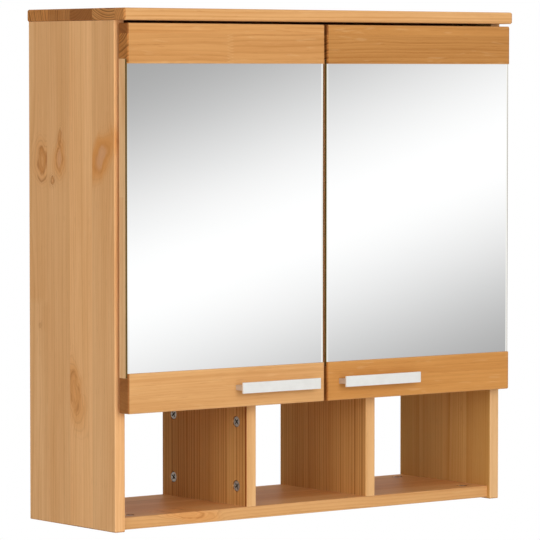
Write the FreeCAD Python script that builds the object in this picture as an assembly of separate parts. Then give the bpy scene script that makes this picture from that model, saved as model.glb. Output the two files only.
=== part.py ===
import FreeCAD, Part
import os
from collections import defaultdict

Vector = FreeCAD.Vector

# A wall-hung pine cabinet: two mirror doors above three open niches.
# Millimetres, +Z up, front towards -Y, wall plane at Y = 0. Heights are worked out from the
# feet of the side panels. The finished pieces are then lowered, so that the origin lies on the
# wall plane, midway between the two wall screws.

# Carcass
carcass_width = 656.0
carcass_height = 678.0
side_depth = 196.0
board_thickness = 16.0
top_side_overhang = 2.0
niche_height = 138.0
shelf_lift = 2.0
front_setback = 6.0
divider_spacing = 204.0
back_thickness = 3.0
back_side_clearance = 0.5
hanging_rail_height = 60.0
wall_screw_spacing = 480.0
wall_hole_radius = 3.5
top_rounding = 3.0
board_rounding = 1.5

# Inner shelf and its pins
inner_shelf_setback = 14.0
inner_shelf_side_clearance = 1.0
inner_shelf_back_clearance = 2.0
shelf_pin_radius = 2.5
shelf_pin_length = 18.0
shelf_pin_depth = 9.0
shelf_rest_clearance = 0.05
pin_row_inset = 40.0
pin_level_pitch = 64.0
pin_levels_each_way = 1

# Cam fittings and dowels of the carcass
cam_radius = 7.5
cam_depth = 12.5
cam_setback = 26.0
cam_row_from_back = 24.5
cam_row_from_front = 23.0
cam_row_from_rail = 14.0
cam_slot_length = 8.0
cam_slot_width = 1.6
cam_slot_depth = 2.0
bolt_radius = 3.0
bolt_head_radius = 3.5
bolt_head_length = 3.0
bolt_thread_depth = 11.0
bolt_play = 0.5
dowel_radius = 4.0
dowel_length = 30.0
dowel_mate_depth = 11.0
rail_dowel_spacing = 30.0

# Nails of the back panel
nail_radius = 0.8
nail_length = 16.0
nail_head_radius = 2.0
nail_head_thickness = 0.8
nail_row_margin = 40.0
nails_per_row = 5
nail_from_top = 14.0

# Doors
door_side_inset = 3.5
door_centre_gap = 4.5
door_top_gap = 3.5
door_floor_drop = 0.5
door_back_gap = 4.0
panel_thickness = 15.0
panel_rounding = 1.5
mirror_thickness = 3.0
mirror_arris = 0.6
mirror_end_clearance = 0.5
rail_height = 52.0
rail_lip_height = 6.0
rail_lip_thickness = 3.0
rail_rounding = 2.0
lip_rounding = 0.8
door_dowel_radius = 3.0
door_dowel_length = 30.0
door_dowel_margin = 60.0
door_dowels_per_joint = 3
bumper_radius = 4.0
bumper_contact_gap = 0.3
bumper_from_edge = 40.0

# Handles
handle_length = 130.0
handle_height = 14.4
handle_bar_thickness = 3.0
handle_reach = 16.7
handle_from_meeting_edge = 19.4
handle_rounding = 0.6
post_height = 6.8
post_width = 8.0
handle_screw_radius = 2.0
handle_screw_grip = 8.0
handle_screw_head_radius = 3.8
handle_screw_head_height = 2.2

# Cup hinges
hinge_from_door_end = 100.0
hinge_pin_inset = 8.5
hinge_pin_depth = 7.5
hinge_pin_radius = 1.5
hinge_pin_length = 21.0
hinge_running_clearance = 0.05
cup_radius = 17.5
cup_depth = 12.0
cup_wall = 1.0
cup_rim_inset = 3.0
cup_boss_half_width = 3.0
cup_ear_spacing = 48.0
cup_ear_offset = 6.0
cup_ear_radius = 5.5
cup_ear_thickness = 1.2
arm_thickness = 3.0
arm_width = 13.0
arm_wall = 1.2
arm_eye_radius = 2.7
arm_swing_room = 1.4
arm_boss_room = 0.6
arm_length = 62.0
arm_wall_setback = 12.0
arm_corner_rounding = 1.4
plate_base = 2.4
plate_line = 37.0
plate_wing_length = 50.0
plate_wing_width = 16.0
plate_wing_rounding = 4.0
plate_spine_length = 36.0
plate_spine_play = 0.2
plate_screw_spacing = 32.0
arm_screw_offset = 9.0

# Screws of the hinges
screw_radius = 1.75
screw_length = 12.0
screw_head_radius = 3.4
screw_head_height = 1.7
arm_screw_head_radius = 3.0
arm_screw_head_height = 1.6

# Clearance of a fitting in its bore, and the spare depth at the bore's end
fit_clearance = 0.1
bore_end_room = 1.0

# Planes that follow from the driving sizes
half_width = carcass_width / 2
inner_half = half_width - board_thickness
half_board = board_thickness / 2
top_underside = carcass_height - board_thickness
shelf_top = shelf_lift + board_thickness
floor_underside = shelf_top + niche_height
floor_top = floor_underside + board_thickness
floor_middle = floor_underside + half_board
side_front = -side_depth
recessed_front = side_front + front_setback
back_panel_front = -back_thickness
hanging_rail_front = back_panel_front - board_thickness
wall_screw_height = top_underside - hanging_rail_height / 2
door_back = side_front - door_back_gap
panel_front = door_back - panel_thickness
mirror_front = panel_front - mirror_thickness
door_front = mirror_front - rail_lip_thickness
door_bottom = floor_underside - door_floor_drop
door_top = top_underside - door_top_gap
door_outer = -half_width + door_side_inset
door_meeting = -door_centre_gap / 2
panel_bottom = door_bottom + rail_height - rail_lip_height
panel_top = door_top - rail_height + rail_lip_height
handle_level = door_bottom + rail_height / 2
hinge_levels = {"upper": door_top - hinge_from_door_end, "lower": door_bottom + hinge_from_door_end}
pin_x = door_outer + hinge_pin_inset
pin_y = door_back - hinge_pin_depth
cup_x = door_outer + cup_rim_inset + cup_radius
arm_under = pin_x + hinge_pin_depth + arm_swing_room
arm_half_width = arm_width / 2
plate_y = side_front + plate_line

RIGHT = Vector(1, 0, 0)
BACK = Vector(0, 1, 0)
UP = Vector(0, 0, 1)
ORIGIN = Vector(0, 0, 0)
OVERRUN = 1.0
TOLERANCE = 1e-6

solids = {}
cuts = defaultdict(list)
groups = defaultdict(list)
paired = {"left_side_panel": "right_side_panel", "left_divider": "right_divider"}


def box(x_limits, y_limits, z_limits):
    """Box between two limits along each axis."""
    low = Vector(min(x_limits), min(y_limits), min(z_limits))
    high = Vector(max(x_limits), max(y_limits), max(z_limits))
    size = high - low
    return Part.makeBox(size.x, size.y, size.z, low)


def rod(start, along, length, radius):
    """Round bar from a point, in a direction."""
    return Part.makeCylinder(radius, length, start, along)


def about(middle, length):
    """Limits of a length centred on a value."""
    return middle - length / 2, middle + length / 2


def spread(low, high, count):
    """Evenly spaced values from low to high."""
    step = (high - low) / (count - 1)
    return [low + step * index for index in range(count)]


def lies_in(edge, axis, value):
    """Whether an edge lies in the plane that crosses an axis at this value."""
    return all(abs(vertex.Point.dot(axis) - value) < TOLERANCE for vertex in edge.Vertexes)


def runs_along(edge, axis):
    """Whether a straight edge runs along an axis."""
    run = edge.Vertexes[-1].Point - edge.Vertexes[0].Point
    return abs(abs(run.dot(axis)) - run.Length) < TOLERANCE


def joined(first, *others):
    """One clean solid from pieces that touch or overlap."""
    return first.fuse(list(others)).removeSplitter()


def mirrored(shape):
    """The same shape on the other side of the cabinet's middle plane."""
    return shape.mirror(ORIGIN, RIGHT)


def cut_from(board, cutter):
    """Notes a cut. A board that spans the middle plane gets it on both sides."""
    cuts[board].append(cutter)
    if board not in paired:
        cuts[board].append(mirrored(cutter))


def add_both(group, piece):
    """Adds a small piece and its mirror image to a group."""
    groups[group] += [piece, mirrored(piece)]


# Carcass boards

def make_top_board():
    half = half_width + top_side_overhang
    board = box((-half, half), (door_front, 0), (top_underside, carcass_height))
    shown = [edge for edge in board.Edges if not lies_in(edge, BACK, 0)]
    return board.makeFillet(top_rounding, shown)


def make_left_side_panel():
    panel = box((-half_width, -inner_half), (side_front, 0), (0, top_underside))
    shown = [edge for edge in panel.Edges
             if (lies_in(edge, BACK, side_front) or lies_in(edge, UP, 0))
             and not lies_in(edge, UP, top_underside) and not lies_in(edge, BACK, 0)]
    return panel.makeFillet(board_rounding, shown)


def make_board(x_limits, y_limits, z_limits, long_axis):
    """Board whose two long front edges are rounded."""
    board = box(x_limits, y_limits, z_limits)
    front = min(y_limits)
    shown = [edge for edge in board.Edges if lies_in(edge, BACK, front) and runs_along(edge, long_axis)]
    return board.makeFillet(board_rounding, shown)


def make_carcass_boards():
    solids["top_board"] = make_top_board()
    solids["left_side_panel"] = make_left_side_panel()
    span = (-inner_half, inner_half)
    solids["bottom_shelf"] = make_board(span, (recessed_front, 0), (shelf_lift, shelf_top), RIGHT)
    solids["cabinet_floor"] = make_board(
        span, (side_front, back_panel_front), (floor_underside, floor_top), RIGHT)
    solids["left_divider"] = make_board(
        about(-divider_spacing / 2, board_thickness), (recessed_front, 0),
        (shelf_top, floor_underside), UP)
    back_half = inner_half - back_side_clearance
    solids["back_panel"] = box(
        (-back_half, back_half), (back_panel_front, 0), (floor_underside, top_underside))
    solids["hanging_rail"] = box(
        span, (hanging_rail_front, back_panel_front),
        (top_underside - hanging_rail_height, top_underside))
    wall_hole = rod(Vector(-wall_screw_spacing / 2, OVERRUN, wall_screw_height), -BACK,
                    OVERRUN - hanging_rail_front + OVERRUN, wall_hole_radius)
    cut_from("back_panel", wall_hole)
    cut_from("hanging_rail", wall_hole)


# Fittings of the carcass

def make_cam_disc():
    """Cam disc with a cross slot. Its face is at Z = 0, and the bolt comes in from -X."""
    disc = rod(ORIGIN, -UP, cam_depth, cam_radius)
    slot = box(about(0, cam_slot_length), about(0, cam_slot_width), (-cam_slot_depth, OVERRUN))
    cross_slot = box(about(0, cam_slot_width), about(0, cam_slot_length), (-cam_slot_depth, OVERRUN))
    bolt_way = rod(Vector(bolt_play, 0, -half_board), -RIGHT, 2 * cam_radius,
                   bolt_head_radius + bolt_play)
    return disc.cut([slot, cross_slot, bolt_way])


def make_cam_bolt():
    """Bolt that ends in the middle of the disc and is screwed into the other board."""
    tip = Vector(-cam_setback - bolt_thread_depth, 0, -half_board)
    stem = rod(tip, RIGHT, -tip.x, bolt_radius)
    head = rod(Vector(0, 0, -half_board), -RIGHT, bolt_head_length, bolt_head_radius)
    return joined(stem, head)


def cam_joint(board, mate, disc_group, joint, inward, face):
    """Cam disc in a board's face and the bolt that pulls the board's end to its mate.

    joint is on the board's end, half-way through the board. inward points from there into the
    board, and face is the side of the board that shows the disc.
    """
    turn = FreeCAD.Rotation(inward, face.cross(inward), face, "XZY")
    seat = FreeCAD.Placement(joint + inward * cam_setback + face * half_board, turn).toMatrix()
    pocket = rod(UP * OVERRUN, -UP, OVERRUN + cam_depth + fit_clearance, cam_radius + fit_clearance)
    end_bore = rod(Vector(0, 0, -half_board), -RIGHT, cam_setback + OVERRUN,
                   bolt_head_radius + bolt_play)
    thread_hole = rod(Vector(-cam_setback + OVERRUN, 0, -half_board), -RIGHT,
                      OVERRUN + bolt_thread_depth + bore_end_room, bolt_radius + fit_clearance)
    add_both(disc_group, make_cam_disc().transformed(seat))
    add_both("cam_bolts", make_cam_bolt().transformed(seat))
    cut_from(board, pocket.transformed(seat))
    cut_from(board, end_bore.transformed(seat))
    cut_from(mate, thread_hole.transformed(seat))


def dowel_joint(board, mate, joint, inward):
    """Wooden dowel across a joint, set deeper in the board than in its mate."""
    add_both("wooden_dowels", rod(joint - inward * dowel_mate_depth, inward, dowel_length, dowel_radius))
    hole = rod(joint - inward * (dowel_mate_depth + bore_end_room), inward,
               dowel_length + 2 * bore_end_room, dowel_radius + fit_clearance)
    cut_from(board, hole)
    cut_from(mate, hole)


def make_carcass_fittings():
    rows = (-cam_row_from_back, recessed_front + cam_row_from_front)
    top_rows = (hanging_rail_front - cam_row_from_rail, rows[1])
    divider_x = -divider_spacing / 2
    side_middle = -half_width + half_board
    shelf_middle = shelf_lift + half_board
    for row in rows:
        cam_joint("left_divider", "bottom_shelf", "divider_cam_discs",
                  Vector(divider_x, row, shelf_top), UP, -RIGHT)
        cam_joint("left_divider", "cabinet_floor", "divider_cam_discs",
                  Vector(divider_x, row, floor_underside), -UP, -RIGHT)
        cam_joint("bottom_shelf", "left_side_panel", "shelf_cam_discs",
                  Vector(-inner_half, row, shelf_middle), RIGHT, UP)
        cam_joint("cabinet_floor", "left_side_panel", "floor_cam_discs",
                  Vector(-inner_half, row, floor_middle), RIGHT, UP)
    for row in top_rows:
        cam_joint("left_side_panel", "top_board", "side_cam_discs",
                  Vector(side_middle, row, top_underside), -UP, RIGHT)
    middle_row = sum(rows) / 2
    dowel_joint("left_divider", "bottom_shelf", Vector(divider_x, middle_row, shelf_top), UP)
    dowel_joint("left_divider", "cabinet_floor", Vector(divider_x, middle_row, floor_underside), -UP)
    dowel_joint("bottom_shelf", "left_side_panel", Vector(-inner_half, middle_row, shelf_middle), RIGHT)
    dowel_joint("cabinet_floor", "left_side_panel", Vector(-inner_half, middle_row, floor_middle), RIGHT)
    dowel_joint("left_side_panel", "top_board",
                Vector(side_middle, sum(top_rows) / 2, top_underside), -UP)
    rail_middle = (hanging_rail_front + back_panel_front) / 2
    for level in about(wall_screw_height, rail_dowel_spacing):
        dowel_joint("hanging_rail", "left_side_panel", Vector(-inner_half, rail_middle, level), RIGHT)


def make_inner_shelf():
    """Adjustable shelf, its four pins, and the rows of pin holes in the side panels."""
    half = inner_half - inner_shelf_side_clearance
    back = back_panel_front - inner_shelf_back_clearance
    underside = (floor_top + top_underside) / 2 - half_board
    solids["inner_shelf"] = make_board(
        (-half, half), (side_front + inner_shelf_setback, back),
        (underside, underside + board_thickness), RIGHT)
    pin_level = underside - shelf_pin_radius - shelf_rest_clearance
    for row in (side_front + inner_shelf_setback + pin_row_inset, back - pin_row_inset):
        pin_start = Vector(-inner_half - shelf_pin_depth, row, pin_level)
        add_both("shelf_pins", rod(pin_start, RIGHT, shelf_pin_length, shelf_pin_radius))
        for step in range(-pin_levels_each_way, pin_levels_each_way + 1):
            hole_start = pin_start + UP * (step * pin_level_pitch) - RIGHT * bore_end_room
            cut_from("left_side_panel", rod(hole_start, RIGHT, shelf_pin_depth + bore_end_room + OVERRUN,
                                            shelf_pin_radius + fit_clearance))


def make_back_nails():
    """Two rows of nails, set flush into the back panel."""
    for level, mate in ((floor_middle, "cabinet_floor"), (top_underside - nail_from_top, "hanging_rail")):
        for x in spread(-inner_half + nail_row_margin, inner_half - nail_row_margin, nails_per_row):
            top = Vector(x, 0, level)
            groups["back_panel_nails"].append(joined(
                rod(top, -BACK, nail_length, nail_radius),
                rod(top, -BACK, nail_head_thickness, nail_head_radius)))
            mouth = top + BACK * OVERRUN
            hole = rod(mouth, -BACK, OVERRUN + nail_length + bore_end_room, nail_radius + fit_clearance)
            pocket = rod(mouth, -BACK, OVERRUN + nail_head_thickness, nail_head_radius + fit_clearance)
            cuts["back_panel"] += [hole, pocket]
            cuts[mate].append(hole)


# Doors, made on the left

def make_rail(outer_level, towards_mirror):
    """Door rail with a rebate behind its lip. towards_mirror is +1 for a rail below the mirror."""
    lip_edge = outer_level + towards_mirror * rail_height
    rebate_floor = lip_edge - towards_mirror * rail_lip_height
    rail = box((door_outer, door_meeting), (door_front, door_back), (outer_level, lip_edge))
    shown = [edge for edge in rail.Edges
             if lies_in(edge, UP, outer_level) or runs_along(edge, UP)]
    rail = rail.makeFillet(rail_rounding, shown)
    lip_edges = [edge for edge in rail.Edges
                 if lies_in(edge, UP, lip_edge) and edge.CenterOfMass.y < mirror_front]
    rail = rail.makeFillet(lip_rounding, lip_edges)
    rebate = box((door_outer - OVERRUN, door_meeting + OVERRUN), (mirror_front, door_back + OVERRUN),
                 (rebate_floor, lip_edge + towards_mirror * OVERRUN))
    return rail.cut(rebate)


def make_panel():
    panel = box((door_outer, door_meeting), (panel_front, door_back), (panel_bottom, panel_top))
    back_edges = [edge for edge in panel.Edges if lies_in(edge, BACK, door_back) and runs_along(edge, UP)]
    return panel.makeFillet(panel_rounding, back_edges)


def make_mirror():
    glass = box((door_outer, door_meeting), (mirror_front, panel_front),
                (panel_bottom + mirror_end_clearance, panel_top - mirror_end_clearance))
    front_edges = [edge for edge in glass.Edges if lies_in(edge, BACK, mirror_front)]
    return glass.makeChamfer(mirror_arris, front_edges)


def make_door_dowels(door, door_cuts):
    """Dowels from the panel's ends into the rails."""
    middle = (door_back + panel_front) / 2
    pieces = []
    places = spread(door_outer + door_dowel_margin, door_meeting - door_dowel_margin, door_dowels_per_joint)
    for level, rail in ((panel_bottom, "bottom_rail"), (panel_top, "top_rail")):
        for x in places:
            start = Vector(x, middle, level - door_dowel_length / 2)
            pieces.append(rod(start, UP, door_dowel_length, door_dowel_radius))
            hole = rod(start - UP * bore_end_room, UP, door_dowel_length + 2 * bore_end_room,
                       door_dowel_radius + fit_clearance)
            door_cuts["panel"].append(hole)
            door_cuts[rail].append(hole)
    door["dowels"] = Part.makeCompound(pieces)


def make_handle(door, door_cuts):
    """Flat bar on two posts, screwed on from behind the bottom rail."""
    inner_end = door_meeting - handle_from_meeting_edge
    outer_end = inner_end - handle_length
    bar_front = door_front - handle_reach
    bar_back = bar_front + handle_bar_thickness
    bar = box((outer_end, inner_end), (bar_front, bar_back), about(handle_level, handle_height))
    door["handle_bar"] = bar.makeFillet(handle_rounding, bar.Edges)
    posts = []
    screws = []
    shank_length = door_back - door_front + handle_screw_grip
    post_inset = handle_rounding + post_width / 2
    for post_x in (outer_end + post_inset, inner_end - post_inset):
        seat = Vector(post_x, door_back, handle_level)
        hole = rod(seat, -BACK, shank_length + bore_end_room, handle_screw_radius + fit_clearance)
        post = box(about(post_x, post_width), (bar_back, door_front), about(handle_level, post_height))
        posts.append(post.cut(hole))
        screws.append(joined(
            rod(seat, -BACK, shank_length, handle_screw_radius),
            rod(seat, BACK, handle_screw_head_height, handle_screw_head_radius)))
        door_cuts["bottom_rail"].append(hole)
    door["handle_posts"] = Part.makeCompound(posts)
    door["handle_screws"] = Part.makeCompound(screws)


def make_bumpers(door):
    """Soft dots on the bottom rail that meet the cabinet floor's front edge."""
    thickness = door_back_gap - bumper_contact_gap
    places = (door_outer + bumper_from_edge, door_meeting - bumper_from_edge)
    door["bumpers"] = Part.makeCompound(
        [rod(Vector(x, door_back, floor_middle), BACK, thickness, bumper_radius) for x in places])


# Hinges, made on the left around their own middle height

def make_screw(top, along, clearance=0.0):
    """Countersunk screw, or with a clearance the hole that it needs."""
    end_room = bore_end_room if clearance else 0.0
    shank = rod(top, along, screw_length + end_room, screw_radius + clearance)
    head = Part.makeCone(screw_head_radius + clearance, screw_radius + clearance,
                         screw_head_height, top, along)
    return joined(shank, head)


def make_hinge_arm():
    """Hooked arm: an eye on the pin, a leg out of the cup, and a channel over the plate's spine."""
    arm_over = arm_under + arm_thickness
    arm_end = side_front + arm_length
    hook_front = pin_y - arm_thickness / 2
    width = (-arm_half_width, arm_half_width)
    strip = box((arm_under, arm_over), (hook_front, arm_end), width)
    hook = box((pin_x, arm_over), about(pin_y, arm_thickness), width)
    arm = joined(strip, hook)
    outer_corner = [edge for edge in arm.Edges
                    if lies_in(edge, RIGHT, arm_over) and lies_in(edge, BACK, hook_front)]
    arm = arm.makeFillet(arm_corner_rounding, outer_corner)
    eye_start = Vector(pin_x, pin_y, -arm_half_width)
    eye = rod(eye_start, UP, arm_width, arm_eye_radius)
    walls = [box((-inner_half + plate_base + fit_clearance, arm_under),
                 (side_front + arm_wall_setback, arm_end),
                 (side * arm_half_width, side * (arm_half_width - arm_wall))) for side in (-1, 1)]
    arm = joined(arm, eye, *walls)
    pin_bore = rod(eye_start - UP * OVERRUN, UP, arm_width + 2 * OVERRUN,
                   hinge_pin_radius + hinge_running_clearance)
    return arm.cut([pin_bore, make_arm_screw_hole()])


def arm_screw_seat():
    """Point on the arm's inner face under the head of its screw."""
    return Vector(arm_under + arm_thickness, plate_y + arm_screw_offset, 0)


def make_arm_screw():
    seat = arm_screw_seat()
    shank = rod(seat, -RIGHT, seat.x + inner_half - bore_end_room, screw_radius)
    head = rod(seat, RIGHT, arm_screw_head_height, arm_screw_head_radius)
    return joined(shank, head)


def make_arm_screw_hole():
    seat = arm_screw_seat()
    return rod(seat + RIGHT * OVERRUN, -RIGHT, seat.x + OVERRUN + inner_half + OVERRUN,
               screw_radius + fit_clearance)


def plate_screw_seats():
    """Points on the plate's face under the heads of its two screws."""
    return [Vector(-inner_half + plate_base, plate_y, level) for level in about(0, plate_screw_spacing)]


def make_hinge_plate():
    """Mounting plate with two wings and a spine that carries the arm."""
    base = (-inner_half, -inner_half + plate_base)
    wing = box(base, about(plate_y, plate_wing_width), about(0, plate_wing_length))
    wing = wing.makeFillet(plate_wing_rounding, [edge for edge in wing.Edges if runs_along(edge, RIGHT)])
    foot = box(base, about(plate_y, plate_spine_length), (-arm_half_width, arm_half_width))
    spine_half = arm_half_width - arm_wall - plate_spine_play
    spine = box((-inner_half, arm_under), about(plate_y, plate_spine_length), (-spine_half, spine_half))
    holes = [make_screw(seat, -RIGHT, fit_clearance) for seat in plate_screw_seats()]
    return joined(wing, foot, spine).cut(holes + [make_arm_screw_hole()])


def ear_screw_seats():
    """Points on the cup's ears under the heads of its two screws."""
    return [Vector(cup_x + cup_ear_offset, door_back + cup_ear_thickness, level)
            for level in about(0, cup_ear_spacing)]


def make_hinge_cup():
    """Round cup let into the door panel, with bosses for the pin and two ears."""
    mouth = Vector(cup_x, door_back, 0)
    body = rod(mouth, -BACK, cup_depth, cup_radius)
    hollow = rod(mouth + BACK * OVERRUN, -BACK, OVERRUN + cup_depth - cup_wall, cup_radius - cup_wall)
    shell = body.cut(hollow)
    boss_start = arm_half_width + arm_boss_room
    bosses = [box(about(pin_x, 2 * cup_boss_half_width),
                  (door_back - cup_depth, pin_y + cup_boss_half_width),
                  (side * boss_start, side * cup_radius)).common(body) for side in (-1, 1)]
    ears = []
    for seat in ear_screw_seats():
        side = 1 if seat.z > 0 else -1
        foot = Vector(seat.x, door_back, seat.z)
        ears.append(rod(foot, BACK, cup_ear_thickness, cup_ear_radius))
        ears.append(box(about(seat.x, 2 * cup_ear_radius), (door_back, door_back + cup_ear_thickness),
                        (side * (cup_radius - cup_ear_radius), seat.z)))
    pin_bore = rod(Vector(pin_x, pin_y, -hinge_pin_length / 2 - fit_clearance), UP,
                   hinge_pin_length + 2 * fit_clearance, hinge_pin_radius + hinge_running_clearance)
    holes = [make_screw(seat, -BACK, fit_clearance) for seat in ear_screw_seats()]
    return joined(shell, *bosses, *ears).cut([pin_bore] + holes)


def make_cup_hole():
    """Blind hole in the door panel for a cup."""
    return rod(Vector(cup_x, door_back + OVERRUN, 0), -BACK, OVERRUN + cup_depth + fit_clearance,
               cup_radius + fit_clearance)


def make_hinge_pin():
    return rod(Vector(pin_x, pin_y, -hinge_pin_length / 2), UP, hinge_pin_length, hinge_pin_radius)


def raised(shape, level):
    """A copy of a shape, moved up to a level."""
    return shape.translated(UP * level)


def make_hinges(door, door_cuts):
    """Two hinges: plates and arms stay on the carcass, cups and pins go with the door."""
    pins = []
    cup_screws = []
    for place, level in hinge_levels.items():
        for name, piece in (("hinge_plate", make_hinge_plate()), ("hinge_arm", make_hinge_arm())):
            solids[f"left_{place}_{name}"] = raised(piece, level)
            solids[f"right_{place}_{name}"] = mirrored(solids[f"left_{place}_{name}"])
        add_both("hinge_arm_screws", raised(make_arm_screw(), level))
        for seat in plate_screw_seats():
            add_both("hinge_plate_screws", raised(make_screw(seat, -RIGHT), level))
            cut_from("left_side_panel", raised(make_screw(seat, -RIGHT, fit_clearance), level))
        door[f"{place}_hinge_cup"] = raised(make_hinge_cup(), level)
        door_cuts["panel"].append(raised(make_cup_hole(), level))
        pins.append(raised(make_hinge_pin(), level))
        for seat in ear_screw_seats():
            cup_screws.append(raised(make_screw(seat, -BACK), level))
            door_cuts["panel"].append(raised(make_screw(seat, -BACK, fit_clearance), level))
    door["hinge_pins"] = Part.makeCompound(pins)
    door["hinge_cup_screws"] = Part.makeCompound(cup_screws)


def make_doors():
    door = {"top_rail": make_rail(door_top, -1), "bottom_rail": make_rail(door_bottom, 1),
            "panel": make_panel(), "mirror": make_mirror()}
    door_cuts = defaultdict(list)
    make_door_dowels(door, door_cuts)
    make_handle(door, door_cuts)
    make_bumpers(door)
    make_hinges(door, door_cuts)
    for name, shape in door.items():
        finished = shape.cut(door_cuts[name]) if door_cuts[name] else shape
        solids[f"left_door_{name}"] = finished
        solids[f"right_door_{name}"] = mirrored(finished)


def finish_carcass():
    """Makes the cuts in the boards, the right-hand boards, and the groups of small pieces."""
    for board, cutters in cuts.items():
        solids[board] = solids[board].cut(cutters)
    for left, right in paired.items():
        solids[right] = mirrored(solids[left])
    for group, pieces in groups.items():
        solids[group] = Part.makeCompound(pieces)


def save_all():
    os.makedirs("parts", exist_ok=True)
    for name, shape in solids.items():
        shape.translated(UP * -wall_screw_height).exportStep(f"parts/{name}.step")


make_carcass_boards()
make_carcass_fittings()
make_inner_shelf()
make_back_nails()
make_doors()
finish_carcass()
save_all()
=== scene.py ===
import math
import bmesh
import bpy
from mathutils import Matrix, Vector


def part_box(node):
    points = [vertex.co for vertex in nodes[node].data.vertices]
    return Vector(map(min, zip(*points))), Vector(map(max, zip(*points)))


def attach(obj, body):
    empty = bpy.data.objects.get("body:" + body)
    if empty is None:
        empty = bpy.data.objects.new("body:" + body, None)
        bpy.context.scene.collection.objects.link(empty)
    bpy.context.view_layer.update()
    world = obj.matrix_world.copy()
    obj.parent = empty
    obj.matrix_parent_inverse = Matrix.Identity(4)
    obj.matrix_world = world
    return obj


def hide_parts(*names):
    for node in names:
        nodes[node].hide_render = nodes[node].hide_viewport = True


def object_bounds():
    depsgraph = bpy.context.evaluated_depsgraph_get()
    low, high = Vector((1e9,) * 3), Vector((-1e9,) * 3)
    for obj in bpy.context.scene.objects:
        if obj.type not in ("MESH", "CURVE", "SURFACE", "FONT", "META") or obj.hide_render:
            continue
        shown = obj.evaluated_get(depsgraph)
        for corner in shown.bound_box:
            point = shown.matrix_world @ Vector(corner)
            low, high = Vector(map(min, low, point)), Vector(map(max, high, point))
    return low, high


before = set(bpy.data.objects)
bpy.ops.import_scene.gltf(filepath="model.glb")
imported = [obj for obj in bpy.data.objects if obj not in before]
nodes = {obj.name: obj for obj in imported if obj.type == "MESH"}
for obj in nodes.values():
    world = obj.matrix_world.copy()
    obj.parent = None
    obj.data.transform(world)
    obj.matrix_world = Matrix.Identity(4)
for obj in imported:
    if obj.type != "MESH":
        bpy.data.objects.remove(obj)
cad_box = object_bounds()

# A wall-hung pine cabinet with two mirror doors above three open niches. Metres, as in the frame.
MM = 0.001
AXES = {"x": Vector((1, 0, 0)), "y": Vector((0, 1, 0)), "z": Vector((0, 0, 1))}
DOORS = ("left", "right")

# Camera, at the photograph's place: in front and to the left, a little above the niches
CAMERA_PLACE = (-3.1044, -4.1316, -0.0383)
CAMERA_YAW = math.radians(37.583)
CAMERA_PITCH = math.radians(-3.009)
CAMERA_LENS = 249.31
CAMERA_SENSOR = 36.0
CAMERA_SIGHT = 100

# Studio: the floor, and a sky that is brighter on one side
HANGING_HEIGHT = 1.2
FLOOR_SIZE = 7.0
FLOOR_SHADE = 0.86
FLOOR_ROUGHNESS = 0.9
FLOOR_GLOW = 0.30
LIT_SIDE = (-0.30, -0.93, 0.20)
UNLIT_UP_TO = -0.35
LIT_FROM = 0.95
LIT_SKY = 0.60
UNLIT_SKY = 0.03

# Round softboxes: place, width and power
LAMPS = {
    "front_softbox": ((-0.5, -3.5, 0.45), 2.2, 52),
    "left_softbox": ((-3.2, -1.35, 0.6), 2.0, 30),
    "rear_softbox": ((0.0, 3.4, -0.5), 1.0, 26),
    "right_softbox": ((3.3, 0.1, 0.3), 2.0, 22),
    "top_softbox": ((0.3, 0.4, 3.0), 2.0, 22),
}

# The bright strip that the mirrors show: its plane, and how far to the grey beside it
STRIP_NORMAL = (-0.0538, 0.5860, -0.8085)
STRIP_OFFSET = -0.4606
STRIP_HALF_WIDTH = 0.0538
STRIP_WHITE = 1.06
STRIP_GREY = 0.40
# Beside it: a white wall that the right bevels see, the strip's shift in the left bevels, and a
# haze in the left bevel at the middle
RIGHT_WALL = 0.96
RIGHT_WALL_FROM = 0.68
LEFT_BEVEL_TO = 0.555
LEFT_BEVEL_SHIFT = 0.031
HAZE = 0.50
HAZE_AT = 0.535
HAZE_REACH = 0.02


def shade(red, green, blue):
    """Colour from its screen values of 0 to 255."""
    def straight(value):
        part = value / 255
        return part / 12.92 if part <= 0.04045 else ((part + 0.055) / 1.055) ** 2.4
    return straight(red), straight(green), straight(blue), 1.0


# Building with nodes

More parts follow.
